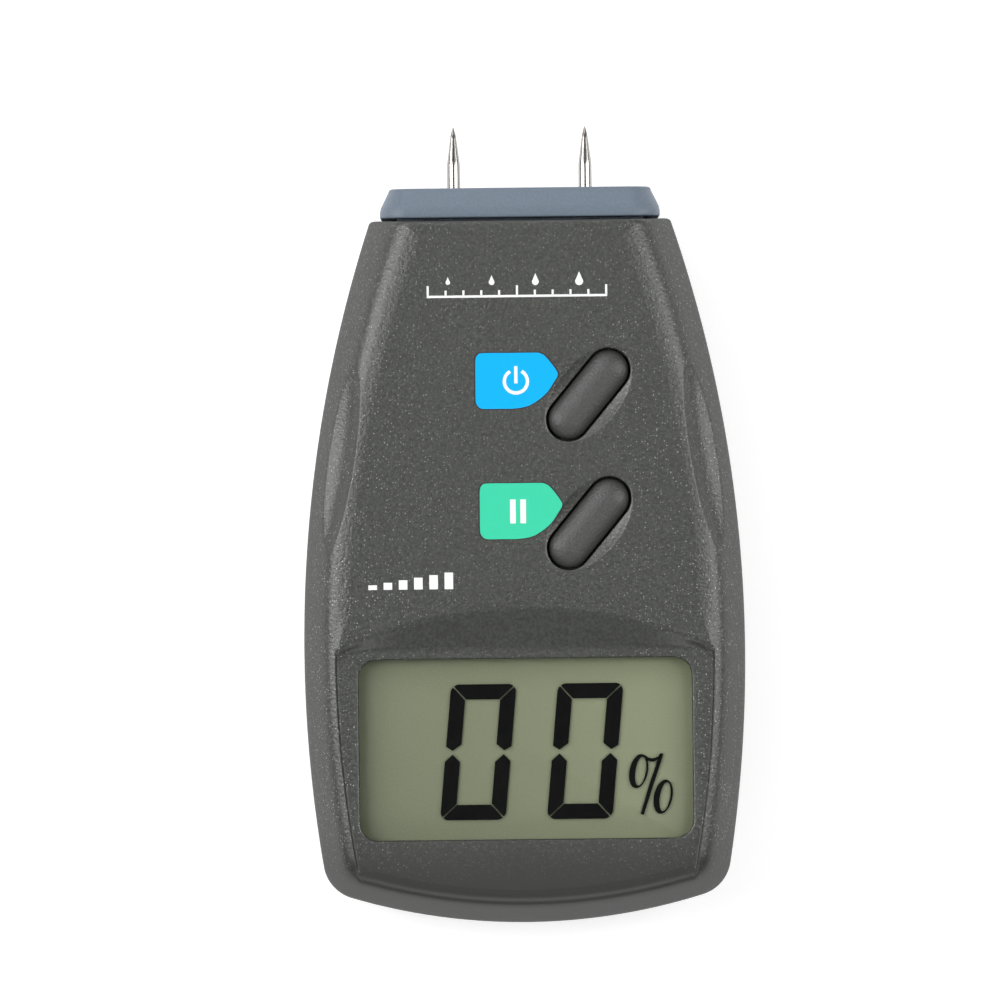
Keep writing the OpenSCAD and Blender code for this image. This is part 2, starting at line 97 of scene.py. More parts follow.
# ---------------------------------------------------------------- mesh helpers
def add_mesh(name, verts, faces, material, smooth_angle=30, weld=0.0005):
    """Object from millimetre vertices whose Y is measured from the lower end."""
    mesh = bpy.data.meshes.new(name)
    points = np.array(verts, float)
    points[:, 1] += LOWER_END
    mesh.from_pydata((points * MM).tolist(), [], [list(f) for f in faces])
    bm = bmesh.new()
    bm.from_mesh(mesh)
    bmesh.ops.remove_doubles(bm, verts=bm.verts, dist=weld * MM)
    bmesh.ops.dissolve_degenerate(bm, edges=bm.edges, dist=1e-8)
    bmesh.ops.recalc_face_normals(bm, faces=bm.faces)
    bm.to_mesh(mesh)
    bm.free()
    mesh.shade_smooth()
    mesh.set_sharp_from_angle(angle=math.radians(smooth_angle))
    mesh.materials.append(material)
    obj = bpy.data.objects.new(name, mesh)
    bpy.context.scene.collection.objects.link(obj)
    return obj


class Shape:
    """Collects vertices and faces of several patches into one mesh."""

    def __init__(self):
        self.verts = []
        self.faces = []

    def add(self, verts, faces):
        base = len(self.verts)
        self.verts.extend(np.array(verts, float).tolist())
        self.faces.extend([[base + i for i in f] for f in faces])

    def rings(self, rings, closed_start=False, closed_end=False):
        """Skin through closed rings with equal point counts."""
        n = len(rings[0])
        faces = []
        for j in range(len(rings) - 1):
            for i in range(n):
                q = (i + 1) % n
                faces.append([j * n + i, j * n + q, (j + 1) * n + q, (j + 1) * n + i])
        if closed_start:
            faces.append(list(range(n - 1, -1, -1)))
        if closed_end:
            faces.append([(len(rings) - 1) * n + i for i in range(n)])
        self.add(np.concatenate(rings), faces)

    def fill(self, boundary, holes, extra_points, height):
        """Flat fill between loops, lifted by height(x, y)."""
        loops = [np.array(boundary, float)] + [np.array(h, float) for h in holes]
        points, edges = [], []
        for loop in loops:
            base = len(points)
            points.extend(loop.tolist())
            edges.extend([(base + i, base + (i + 1) % len(loop)) for i in range(len(loop))])
        points.extend(extra_points)
        out, _, faces, _, _, _ = delaunay_2d_cdt([Vector(p) for p in points], edges, [], 0, 1e-7)
        out = np.array([tuple(p) for p in out])
        tris = np.array([list(f) for f in faces])
        centre = out[tris].mean(axis=1)
        keep = inside(centre, loops[0])
        for hole in loops[1:]:
            keep &= ~inside(centre, hole)
        z = height(out[:, 0], out[:, 1])
        self.add(np.column_stack([out, z]), tris[keep].tolist())

    def block(self, low, high):
        (x0, y0, z0), (x1, y1, z1) = low, high
        base = [(x0, y0), (x1, y0), (x1, y1), (x0, y1)]
        self.rings([[(x, y, z) for x, y in base] for z in (z0, z1)], True, True)

    def plate(self, loop, z0, z1):
        """Closed outline made into a plate."""
        self.rings([[(x, y, z) for x, y in loop] for z in (z0, z1)], True, True)

    def lathe_z(self, centre, profile, count=48):
        """Closed body of revolution about a vertical axis; profile is (radius, z)."""
        turn = np.linspace(0, 2 * math.pi, count, endpoint=False)
        rings = [np.column_stack([centre[0] + r * np.cos(turn), centre[1] + r * np.sin(turn),
                                  np.full(count, z)]) for r, z in profile]
        self.rings(rings, True, True)


def inside(points, loop):
    """Which points lie inside a closed loop, by the even-odd rule."""
    x, y = points[:, 0][:, None], points[:, 1][:, None]
    ax, ay = loop[:, 0][None], loop[:, 1][None]
    bx, by = np.roll(loop[:, 0], -1)[None], np.roll(loop[:, 1], -1)[None]
    straddles = (ay > y) != (by > y)
    with np.errstate(divide="ignore", invalid="ignore"):
        cross_x = ax + (y - ay) * (bx - ax) / (by - ay)
    return (straddles & (x < cross_x)).sum(axis=1) % 2 == 1


def smooth_min(a, b, k):
    low = np.minimum(a, b)
    return low - k * np.log1p(np.exp(-np.abs(a - b) / k))


def smooth_max(a, b, k):
    return -smooth_min(-a, -b, k)


def smoothstep(t):
    t = np.clip(t, 0, 1)
    return t * t * (3 - 2 * t)


# ---------------------------------------------------------------- the case's outline
def arc_points(centre, radius, start, end, count, first):
    turn = np.linspace(start, end, count + 1)[first:]
    return np.column_stack([centre[0] + radius * np.cos(turn), centre[1] + radius * np.sin(turn)])


def angle_to(centre, point):
    return math.atan2(point[1] - centre[1], point[0] - centre[0])


def lerp(a, b, f):
    return a + (b - a) * f


def outline(f, extra, inset=FACE_INSET, detail=4):
    """The case's outline. f runs from 0 at the silhouette to 1 at the edge of a face."""
    side_r = lerp(SIDE_R, FACE_SIDE_R, f) - extra
    half = CASE_W / 2 - inset * f - extra
    side_c = np.array([half - side_r, WIDEST_Y])
    end_r = END_R - END_INSET * f - extra
    end_c = np.array([0, END_R])
    corner = max(lerp(LOW_CORNER, LOW_CORNER_FACE, f) - extra, 0.8)
    ra, rb = side_r - corner, end_r - corner
    gap = np.linalg.norm(end_c - side_c)
    along = (end_c - side_c) / gap
    m = (ra * ra - rb * rb + gap * gap) / (2 * gap)
    low_c = side_c + m * along - math.sqrt(ra * ra - m * m) * np.array([-along[1], along[0]])
    top = CASE_L - TOP_INSET * f - extra
    rise = top - TOP_CORNER - WIDEST_Y
    top_c = np.array([side_c[0] + math.sqrt((side_r - TOP_CORNER) ** 2 - rise ** 2), top - TOP_CORNER])
    right = np.concatenate([
        arc_points(end_c, end_r, -math.pi / 2, angle_to(end_c, low_c), 8 * detail, 0),
        arc_points(low_c, corner, angle_to(end_c, low_c), angle_to(side_c, low_c), 5 * detail, 1),
        arc_points(side_c, side_r, angle_to(side_c, low_c), angle_to(side_c, top_c), 52 * detail, 1),
        arc_points(top_c, TOP_CORNER, angle_to(side_c, top_c), math.pi / 2, 2 * detail, 1)])
    left = right[:0:-1] * [-1, 1]
    return np.concatenate([right, left])


def ring(f, extra, z, inset=FACE_INSET):
    loop = outline(f, extra, inset)
    return np.column_stack([loop, np.full(len(loop), z)])


def flank_height(w, top_z):
    """Height of the front flank at a distance w inside the silhouette."""
    reach = FACE_INSET / (1 - math.cos(FRONT_SWEEP))
    turn = np.arccos(np.maximum(1 - w / reach, 0))
    return FRONT_ROUND_Z + (top_z - FRONT_ROUND_Z) * np.sin(turn) / math.sin(FRONT_SWEEP)


# ---------------------------------------------------------------- features of the front
def push_in_scoops(points):
    """Presses the two fingertip scoops, parts of long ellipsoids, into a surface."""
    lower, upper = np.array([31.1, 51.8]), np.array([24.9, 87.7])
    tilt = math.atan2(lower[0] - upper[0], upper[1] - lower[1])
    middle = (lower + upper) / 2 + 2.6 * np.array([math.cos(tilt), math.sin(tilt)])
    centre = np.array([middle[0], middle[1], CASE_T + 2.0])
    size = np.array([5.5, 24.1, 5.5])
    side = np.where(points[:, 0] < 0, -1.0, 1.0)
    p = points * np.column_stack([side, np.ones_like(side), np.ones_like(side)])
    turn = np.array([[math.cos(tilt), math.sin(tilt), 0], [-math.sin(tilt), math.cos(tilt), 0], [0, 0, 1]])
    push = np.array([-0.56, 0, -0.83])
    step = turn @ push
    local = (p - centre) @ turn.T
    # Depth along the push direction at which each point meets the far side of the ellipsoid
    a = np.sum((step / size) ** 2)
    b = np.sum(local * step / size ** 2, axis=1)
    c = np.sum((local / size) ** 2, axis=1) - 1
    inside_ray = b * b - a * c
    depth = np.where(inside_ray > 0, (-b + np.sqrt(np.maximum(inside_ray, 0))) / a, -5)
    near = (p[:, 0] > 15) & (np.abs(p[:, 1] - middle[1]) < 24)
    depth = np.where(near, smooth_max(depth, 0 * depth, 0.05), 0)
    depth = np.where(depth < 0.002, 0, depth)
    return points + depth[:, None] * push * np.column_stack([side, np.ones_like(side), np.ones_like(side)])


def panel_drop(x, y):
    """How far the display panel lies below the face."""
    arch_r = (ARCH_HALF ** 2 + (ARCH_Y - RAMP_Y) ** 2) / (2 * (ARCH_Y - RAMP_Y))
    arch = ARCH_Y - arch_r + np.sqrt(np.maximum(arch_r ** 2 - x ** 2, 0))
    run = np.maximum(arch - RAMP_Y, 1.1)
    t = (arch - y) / run
    ramp = smooth_min(smooth_max(t, 0 * t, 0.05), 1 + 0 * t, 0.05)
    side_x = CASE_W / 2 - FACE_INSET - FACE_SIDE_R + np.sqrt(FACE_SIDE_R ** 2 - (y - WIDEST_Y) ** 2)
    wall = smoothstep((side_x - 0.35 - np.abs(x)) / 0.4)
    return PANEL_DEPTH * np.clip(ramp, 0, 1) * wall


def face_height(x, y):
    return CASE_T - panel_drop(np.asarray(x, float), np.asarray(y, float))


def from_button(u, v, centre):
    c, s = math.cos(BUTTON_ANGLE), math.sin(BUTTON_ANGLE)
    return centre[0] + c * u - s * v, centre[1] + s * u + c * v


def dish_height(u, v):
    """Bottom of the oval dish round a button, blended softly into the face."""
    depth = DISH_DEPTH + DISH_LIFT
    spread = 1 / math.sqrt(1 - (DISH_LIFT / depth) ** 2)
    a, b = DISH_L / 2 * spread, DISH_W / 2 * spread
    q = 1 - (u / a) ** 2 - (v / b) ** 2
    bowl = CASE_T + DISH_LIFT - depth * np.sqrt(np.maximum(q, 0.02))
    return smooth_min(bowl, np.full_like(bowl, CASE_T), 0.04)


def pill(length, width, round_points=40, side_points=26):
    """Closed round-ended outline centred on the origin, counter-clockwise."""
    c, r = (length - width) / 2, width / 2
    turn = np.linspace(-math.pi / 2, math.pi / 2, round_points)
    right = np.column_stack([c + r * np.cos(turn), r * np.sin(turn)])
    along = np.linspace(c, -c, side_points + 2)[1:-1]
    half = np.concatenate([right, np.column_stack([along, np.full(side_points, r)])])
    return np.concatenate([half, -half])


def ellipse_like(loop, a, b):
    """Ellipse with one point for each point of a loop, in the same direction from the middle."""
    turn = np.arctan2(loop[:, 1] / b, loop[:, 0] / a)
    return np.column_stack([a * np.cos(turn), b * np.sin(turn)])


def rounded_rect(cx, cy, w, h, r, count=10):
    corners = [(1, 1, 0), (-1, 1, 90), (-1, -1, 180), (1, -1, 270)]
    loops = []
    for sx, sy, start in corners:
        turn = np.radians(np.linspace(start, start + 90, count))
        loops.append(np.column_stack([cx + sx * (w / 2 - r) + r * np.cos(turn),
                                      cy + sy * (h / 2 - r) + r * np.sin(turn)]))
    return np.concatenate(loops)


def dish_patch(shape, centre):
    """Dish and hole of one button. Returns the dish's outer loop and the hole's loop."""
    hole = pill(BUTTON_L + 2 * BUTTON_GAP, BUTTON_W + 2 * BUTTON_GAP)
    lip = pill(BUTTON_L + 2 * (BUTTON_GAP + HOLE_EDGE), BUTTON_W + 2 * (BUTTON_GAP + HOLE_EDGE))
    outer = ellipse_like(lip, DISH_L / 2 + 1.0, DISH_W / 2 + 1.0)
    rings = []
    for t in np.linspace(0, 1, 26):
        loop = lip + (outer - lip) * t
        z = dish_height(loop[:, 0], loop[:, 1])
        if t == 1:
            z = np.full_like(z, CASE_T)
        x, y = from_button(loop[:, 0], loop[:, 1], centre)
        rings.append(np.column_stack([x, y, z]))
    outer_loop = rings[-1][:, :2]
    lip_z = rings[0][:, 2]
    for turn in np.radians([60, 30, 0]):
        loop = hole + (lip - hole) * (1 - math.cos(turn))
        x, y = from_button(loop[:, 0], loop[:, 1], centre)
        rings.insert(0, np.column_stack([x, y, lip_z - HOLE_EDGE * (1 - math.sin(turn))]))
    rings.insert(0, np.column_stack([rings[0][:, :2], np.full(len(hole), INNER_Z)]))
    shape.rings(rings)
    return outer_loop, rings[0][:, :2]


def window_patch(shape):
    """Rounded edge and wall of the window. Returns its outer and inner loops."""
    cy = WINDOW_Y + WINDOW_H / 2
    loops = []
    for turn in np.radians([90, 67, 45, 22, 0]):
        grow = WINDOW_EDGE * (1 - math.cos(turn))
        loop = rounded_rect(0, cy, WINDOW_W + 2 * grow, WINDOW_H + 2 * grow, WINDOW_R + grow)
        z = PANEL_Z - WINDOW_EDGE * (1 - math.sin(turn))
        loops.append(np.column_stack([loop, np.full(len(loop), z)]))
    loops.append(np.column_stack([loops[-1][:, :2], np.full(len(loops[-1]), INNER_Z)]))
    shape.rings(loops[::-1])
    return loops[0][:, :2], loops[-1][:, :2]


def front_case():
    shape = Shape()
    # Parting edge, flank and the soft edge of the face
    rings = [ring(0, 0.95, PART_Z + 1.3), ring(0, 0.95, PART_Z), ring(0, 0.22, PART_Z)]
    rings += [ring(0, 0.06, PART_Z + 0.06), ring(0, 0, PART_Z + 0.22), ring(0, 0, 15), ring(0, 0, FRONT_ROUND_Z)]
    reach = FACE_INSET / (1 - math.cos(FRONT_SWEEP))
    # Distance of each ring from the silhouette; inside the face the rim is narrower by the window
    edge = outline(1, 0)
    width = lerp(RIM_BY_WINDOW, RIM_BY_BUTTONS, smoothstep((edge[:, 1] - 42) / 7))
    depths = [reach * (1 - math.cos(a)) for a in np.linspace(0, FRONT_SWEEP, 34)[1:-2]]
    depths += np.arange(depths[-1] + 0.14, FACE_INSET - 0.05, 0.14).tolist()
    loops = [(outline(w / FACE_INSET, 0), np.full(len(edge), w), CREASE_SOFTNESS) for w in depths]
    near, far = outline(1, RIM_BY_WINDOW), outline(1, RIM_BY_BUTTONS)
    last = near + (far - near) * ((width - RIM_BY_WINDOW) / (RIM_BY_BUTTONS - RIM_BY_WINDOW))[:, None]
    loops += [(edge + (last - edge) * t, FACE_INSET + width * t, CREASE_SOFTNESS * (1 - t ** 3))
              for t in np.linspace(0, 1, 26)]
    for loop, w, softness in loops:
        height = face_height(loop[:, 0], loop[:, 1])
        if softness > 0:
            height = smooth_min(flank_height(w, CASE_T), height, softness)
        rings.append(push_in_scoops(np.column_stack([loop, height])))
    shape.rings(rings)

    windows = window_patch(shape)
    dishes = [dish_patch(shape, centre) for centre in BUTTONS.values()]
    outer_holes = [windows[0]] + [d[0] for d in dishes]
    inner_holes = [windows[1]] + [d[1] for d in dishes]
    ramp_points = np.array([(x, y) for x in np.arange(-27.3, 27.4, 0.7)
                            for y in np.arange(RAMP_Y - 0.9, ARCH_Y + 0.8, 0.33)])
    ramp_points = ramp_points[inside(ramp_points, last)].tolist()
    shape.fill(rings[-1][:, :2], outer_holes, ramp_points, face_height)

    # Inside of the shell
    inner = [ring(0, 0.95, PART_Z + 1.3), ring(0, WALL, PART_Z + 1.3), ring(0, WALL, FRONT_ROUND_Z)]
    for a in np.linspace(0, 1, 9)[1:]:
        w = reach * (1 - math.cos(a * FRONT_SWEEP * 0.94))
        inner.append(ring(w / FACE_INSET, WALL, FRONT_ROUND_Z + (INNER_Z - FRONT_ROUND_Z) * math.sin(a * math.pi / 2)))
    shape.rings(inner)
    shape.fill(inner[-1][:, :2], inner_holes, [], lambda x, y: np.full_like(x, INNER_Z))
    return add_mesh("front_shell", shape.verts, shape.faces, LOOKS["case_plastic"], 40)


# ---------------------------------------------------------------- materials
CASE_SPECULAR = 0.9
# Strength of the glints painted into the case colour as highlights.
PAINTED_GLINT = 0.68
FACE_ROUGHNESS, FLANK_ROUGHNESS = 0.38, 0.75
# Shaded left and lit right colours of the display: painted light.
LCD_SHADED_LEFT, LCD_LIT_RIGHT = (0.152, 0.167, 0.109), (0.235, 0.26, 0.16)


def node(tree, kind, values=None, **settings):
    made = tree.nodes.new("ShaderNode" + kind)
    for key, value in settings.items():
        setattr(made, key, value)
    for key, value in (values or {}).items():
        if isinstance(value, bpy.types.NodeSocket):
            tree.links.new(value, made.inputs[key])
        else:
            made.inputs[key].default_value = value
    return made


def math_node(tree, operation, a, b=0.0, c=0.0):
    return node(tree, "Math", {0: a, 1: b, 2: c}, operation=operation).outputs[0]


def new_material(name, rough=0.5, metal=0.0, specular=0.5):
    material = bpy.data.materials.new(name)
    material.use_nodes = True
    tree = material.node_tree
    shader = tree.nodes["Principled BSDF"]
    shader.inputs["Roughness"].default_value = rough
    shader.inputs["Metallic"].default_value = metal
    shader.inputs["Specular IOR Level"].default_value = specular
    return material, tree, shader


def place(tree):
    return node(tree, "TexCoord").outputs["Object"]


def noise(tree, where, size_mm, detail=2.0, output="Fac"):
    """Noise with features of about size_mm."""
    return node(tree, "TexNoise", {"Vector": where, "Scale": 1 / (size_mm * MM), "Detail": detail}).outputs[output]


def mapped(tree, value, a, b, c, d):
    return node(tree, "MapRange", {"Value": value, "From Min": a, "From Max": b, "To Min": c, "To Max": d}).outputs[0]


def tinted(tree, shader, color, amount, factor):
    """Base colour that varies by the given amount either side of a colour."""
    dark = [c * (1 - amount) for c in color]
    light = [c * (1 + amount) for c in color]
    mix = node(tree, "Mix", {"Factor": factor}, data_type="RGBA")
    mix.inputs["A"].default_value = (*dark, 1)
    mix.inputs["B"].default_value = (*light, 1)
    tree.links.new(mix.outputs["Result"], shader.inputs["Base Color"])
    return mix


def bumped(tree, shader, height, depth_mm, strength=1.0):
    bump = node(tree, "Bump", {"Height": height, "Distance": depth_mm * MM, "Strength": strength})
    tree.links.new(bump.outputs[0], shader.inputs["Normal"])
    return bump


def moulded(name, color, rough=0.5, grain_mm=0.3, depth_mm=0.01, vary=0.1, specular=0.5):
    """Plastic or rubber with a fine grain."""
    material, tree, shader = new_material(name, rough, 0, specular)
    where = place(tree)
    grain = noise(tree, where, grain_mm)
    tinted(tree, shader, color, vary, grain)
    bumped(tree, shader, grain, depth_mm)
    return material


def metal(name, color, rough, streak_mm=0.05, depth_mm=0.002):
    """Metal with fine turning marks."""
    material, tree, shader = new_material(name, rough, 1.0)
    stretch = node(tree, "Mapping", {"Vector": place(tree), "Scale": (0.2, 1, 0.2)})
    marks = noise(tree, stretch.outputs[0], streak_mm)
    tinted(tree, shader, color, 0.04, marks)
    tree.links.new(mapped(tree, marks, 0.3, 0.7, rough * 0.8, rough * 1.2), shader.inputs["Roughness"])
    bumped(tree, shader, marks, depth_mm)
    return material


def sparked_plastic(name, color):
    """Spark-eroded case plastic: fine grain with tiny glints painted into its colour as highlights, smoother round the
    display.
    """
    material, tree, shader = new_material(name, 0.42, 0, CASE_SPECULAR)
    where = place(tree)
    upright = node(tree, "SeparateXYZ", {0: node(tree, "NewGeometry").outputs["Normal"]}).outputs[2]
    tree.links.new(mapped(tree, upright, 0.2, 0.75, FLANK_ROUGHNESS, FACE_ROUGHNESS), shader.inputs["Roughness"])
    axes = node(tree, "SeparateXYZ", {0: where})
    x, y = axes.outputs[:2]
    arch_r = (ARCH_HALF ** 2 + (ARCH_Y - RAMP_Y) ** 2) / (2 * (ARCH_Y - RAMP_Y))
    arch_centre = (0, (ARCH_Y - arch_r + LOWER_END) * MM, CASE_T * MM)
    from_centre = node(tree, "VectorMath", {0: where, 1: arch_centre}, operation="DISTANCE")
    under_arch = mapped(tree, from_centre.outputs["Value"], (arch_r - 0.6) * MM, (arch_r + 0.3) * MM, 1, 0)
    above_window = mapped(tree, y, (RAMP_Y - 0.6 + LOWER_END) * MM, (RAMP_Y + 0.4 + LOWER_END) * MM, 0, 1)
    below_window = mapped(tree, y, (WINDOW_Y - 7 + LOWER_END) * MM, (WINDOW_Y + 2 + LOWER_END) * MM, 1, 0)
    smooth = math_node(tree, "MAXIMUM", math_node(tree, "MULTIPLY", under_arch, above_window), below_window)
    rough_part = math_node(tree, "SUBTRACT", 1.0, math_node(tree, "MULTIPLY", smooth, 0.92))

    turned = node(tree, "Mapping", {"Vector": where, "Rotation": (0.62, 0.41, 0.35)}).outputs[0]
    grain = noise(tree, turned, 0.45, 3)
    # Painted highlights: random cells become light grey specks in the base colour, standing in for glints on the
    # grain.
    cells = node(tree, "TexVoronoi", {"Vector": turned, "Scale": 1 / (0.36 * MM)})
    luck = node(tree, "SeparateColor", {0: cells.outputs["Color"]}).outputs[0]
    painted_glint = math_node(tree, "MULTIPLY", mapped(tree, luck, 0.5, 1.0, 0, 1),
                      mapped(tree, cells.outputs["Distance"], 0.05, 0.32, 1, 0))
    painted_glint = math_node(tree, "MULTIPLY", painted_glint, rough_part)
    # Painted light: the glints are made brighter towards the sides of the face, where more light falls.
    painted_side_light = mapped(tree, math_node(tree, "ABSOLUTE", x), 0.006, 0.028, 0.7, 1.7)
    painted_glint = math_node(tree, "MULTIPLY", painted_glint, painted_side_light)
    shade = mapped(tree, grain, 0.35, 0.65, 0, 1)
    # Towards and below the lower edge of the window the base colour goes to its dark end, without grain.
    base = tinted(tree, shader, color, 0.45, math_node(tree, "SUBTRACT", shade, below_window))
    amount = math_node(tree, "MULTIPLY", painted_glint, PAINTED_GLINT)
    # Painted highlights: the glints mix the base colour towards the light grey set below.
    mix = node(tree, "Mix", {"Factor": amount, "A": base.outputs["Result"]}, data_type="RGBA")
    mix.inputs["B"].default_value = (0.5, 0.51, 0.49, 1)
    tree.links.new(mix.outputs["Result"], shader.inputs["Base Color"])
    height = math_node(tree, "MULTIPLY", grain, rough_part)
    bumped(tree, shader, height, 0.09)
    return material


def window_material():
    material, tree, shader = new_material("window_clear", 0.05, 0, 0.5)
    haze = noise(tree, place(tree), 3.0)
    tinted(tree, shader, (0.9, 0.93, 0.9), 0.02, haze)
    tree.links.new(mapped(tree, haze, 0.3, 0.7, 0.0015, 0.0025), shader.inputs["Alpha"])
    return material


def display_material():
    """Grey-green display with painted light: it is lighter towards its upper right corner, where more light falls."""
    material, tree, shader = new_material("lcd_panel", 0.35, 0, 0.3)
    where = place(tree)
    axes = node(tree, "SeparateXYZ", {0: where})
    # Painted light: the colour runs from shaded at the left to lit at the right and lightens towards the top, with
    # random speckle added.
    painted_light_across = mapped(tree, axes.outputs[0], -0.026, 0.026, 0, 0.8)
    painted_light_up = mapped(tree, axes.outputs[1], -0.050, -0.018, 0, 0.2)
    speck = math_node(tree, "MULTIPLY", math_node(tree, "SUBTRACT", noise(tree, where, 0.3), 0.5), 0.5)
    total = math_node(tree, "ADD", math_node(tree, "ADD", painted_light_across, painted_light_up), speck)
    mix = tinted(tree, shader, (1, 1, 1), 0, total)
    mix.inputs["A"].default_value = (*LCD_SHADED_LEFT, 1)
    mix.inputs["B"].default_value = (*LCD_LIT_RIGHT, 1)
    return material


LOOKS = {
    "case_plastic": sparked_plastic("case_plastic", (0.0275, 0.0298, 0.0242)),
    "head_plastic": moulded("head_plastic", (0.14, 0.178, 0.225), 0.45, 0.4, 0.04, 0.15, 0.5),
    "button_rubber": moulded("button_rubber", (0.031, 0.033, 0.03), 0.5, 0.36, 0.09, 0.45, 0.9),
    "pin_steel": metal("pin_steel", (0.42, 0.405, 0.385), 0.17),
    "plated_steel": metal("plated_steel", (0.62, 0.62, 0.6), 0.25),
    "terminal_brass": metal("terminal_brass", (0.72, 0.56, 0.24), 0.3),
    "window_clear": window_material(),
    "lcd_panel": display_material(),
    "reflector": moulded("reflector", (0.6, 0.62, 0.55), 0.6, 0.2, 0.002, 0.03),
    "black_plastic": moulded("black_plastic", (0.02, 0.02, 0.02), 0.5, 0.3, 0.005, 0.2),
    "black_rubber": moulded("black_rubber", (0.04, 0.04, 0.045), 0.7, 0.2, 0.005, 0.15),
    "board_green": moulded("board_green", (0.03, 0.16, 0.07), 0.3, 1.5, 0.01, 0.2),
    "component_tan": moulded("component_tan", (0.4, 0.3, 0.18), 0.5, 0.5, 0.004, 0.25),
    "battery_can": moulded("battery_can", (0.06, 0.06, 0.065), 0.3, 2.0, 0.01, 0.1),
    "foam_grey": moulded("foam_grey", (0.12, 0.12, 0.13), 0.9, 0.4, 0.1, 0.35),
    "snap_vinyl": moulded("snap_vinyl", (0.03, 0.03, 0.03), 0.45, 0.6, 0.01, 0.15),
    "lead_red": moulded("lead_red", (0.55, 0.03, 0.03), 0.4, 0.8, 0.004, 0.08),
    "lead_black": moulded("lead_black", (0.02, 0.02, 0.02), 0.4, 0.8, 0.004, 0.15),
    "lead_white": moulded("lead_white", (0.75, 0.75, 0.72), 0.4, 0.8, 0.004, 0.04),
    "print_white": moulded("print_white", (0.88, 0.89, 0.88), 0.5, 0.3, 0.003, 0.02, 0.2),
    "print_blue": moulded("print_blue", (0.004, 0.43, 0.9), 0.55, 0.3, 0.003, 0.03, 0.12),
    "print_green": moulded("print_green", (0.05, 0.62, 0.38), 0.55, 0.3, 0.003, 0.03, 0.12),
}
SEGMENT_INK = moulded("segment_ink", (0.0025, 0.0025, 0.0025), 0.8, 0.3, 0.001, 0.1, 0.03)


def finished(obj, body, slot, *stands_for):
    """Puts a piece on its body, gives it its slot and hides the CAD nodes it stands for."""
    obj.data.materials.clear()
    obj.data.materials.append(LOOKS[slot])
    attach(obj, body)
    if stands_for:
        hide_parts(*stands_for)
    return obj


# ---------------------------------------------------------------- the two shells
def back_ring(f, extra, z):
    return ring(f, extra, z, BACK_INSET)


def back_solid(name, extra, top_z):
    """Closed dense form of the back half, moved in by extra."""
    shape = Shape()
    span = BACK_ROUND_Z - extra
    rings = []
    for turn in np.linspace(BACK_SWEEP, 0, 30):
        f = (1 - math.cos(turn)) / (1 - math.cos(BACK_SWEEP))
        rings.append(back_ring(f, extra, BACK_ROUND_Z - span * math.sin(turn) / math.sin(BACK_SWEEP)))
    if extra == 0:
        rings += [back_ring(0, 0, top_z - 0.22), back_ring(0, 0.06, top_z - 0.06), back_ring(0, 0.22, top_z)]
    else:
        rings.append(back_ring(0, extra, top_z))
    shape.rings(rings, True, True)
    return add_mesh(name, shape.verts, shape.faces, LOOKS["case_plastic"], 40)


def solid(name, build):
    shape = Shape()
    build(shape)
    return add_mesh(name, shape.verts, shape.faces, LOOKS["case_plastic"], 40)


def cut(obj, tool, operation="DIFFERENCE"):
    modifier = obj.modifiers.new("cut", "BOOLEAN")
    modifier.operation = operation
    modifier.solver = "EXACT"
    modifier.object = tool
    with bpy.context.temp_override(object=obj, active_object=obj, selected_objects=[obj]):
        bpy.ops.object.modifier_apply(modifier=modifier.name)
    bpy.data.objects.remove(tool)


def tidied(obj, smooth_angle=35):
    """Welds what a cut has left, and sets the shading again."""
    bm = bmesh.new()
    bm.from_mesh(obj.data)
    bmesh.ops.remove_doubles(bm, verts=bm.verts, dist=0.0008 * MM)
    bmesh.ops.dissolve_degenerate(bm, edges=bm.edges, dist=1e-7)
    bmesh.ops.triangulate(bm, faces=[f for f in bm.faces if len(f.verts) > 4])
    bmesh.ops.recalc_face_normals(bm, faces=bm.faces)
    bm.to_mesh(obj.data)
    bm.free()
    obj.data.shade_smooth()
    obj.data.set_sharp_from_angle(angle=math.radians(smooth_angle))
    return obj


DOOR_TOP, DOOR_HALF, DOOR_GAP = 64.0, 14.4, 0.2


def back_case():
    shell = back_solid("back_shell", 0, PART_Z)
    cut(shell, back_solid("cavity", WALL, PART_Z + 1))

    def opening(shape):
        shape.block((-DOOR_HALF - DOOR_GAP, -5, -1), (DOOR_HALF + DOOR_GAP, DOOR_TOP + DOOR_GAP, 2.2))
    cut(shell, solid("opening", opening))

    def neck(shape):
        shape.block((-18.8, CASE_L - 5, 6.4), (18.8, CASE_L + 1, 22.8))
    cut(shell, solid("neck_opening", neck))
    for x, y in [(17, 98.5), (-17, 98.5), (22.5, 12), (-22.5, 12)]:
        cut(shell, solid("counterbore", lambda s: s.lathe_z((x, y), [(2.6, -1), (2.6, 5.8)])))
    return tidied(shell)


def battery_bay():
    """Frame of the battery bay, with the ledges that the door slides on."""
    shape = Shape()
    walls = [((-17.2, 7.4, 2.25), (-13.6, 65.5, 3.4)), ((13.6, 7.4, 2.25), (17.2, 65.5, 3.4)),
             ((-14.9, 7.5, 3.3), (-13.7, 62.8, 20)), ((13.7, 7.5, 3.3), (14.9, 62.8, 20)),
             ((-14, 7.6, 3.35), (14, 8.8, 19.9)), ((-14, 61.5, 3.35), (14, 62.7, 9))]
    for a, b in walls:
        shape.block(a, b)
    return add_mesh("battery_bay", shape.verts, shape.faces, LOOKS["case_plastic"], 40)


def battery_door():
    form = back_solid("door_panel", 0, PART_Z)

    def slab(shape):
        shape.block((-DOOR_HALF, -5, 0.2), (DOOR_HALF, DOOR_TOP, 2.0))
    cut(form, solid("slab", slab), "INTERSECT")
    for i in range(5):
        def groove(shape):
            shape.block((-7, 12 + 2 * i, -1), (7, 12.9 + 2 * i, 0.7))
        cut(form, solid("groove", groove))
    return tidied(form)


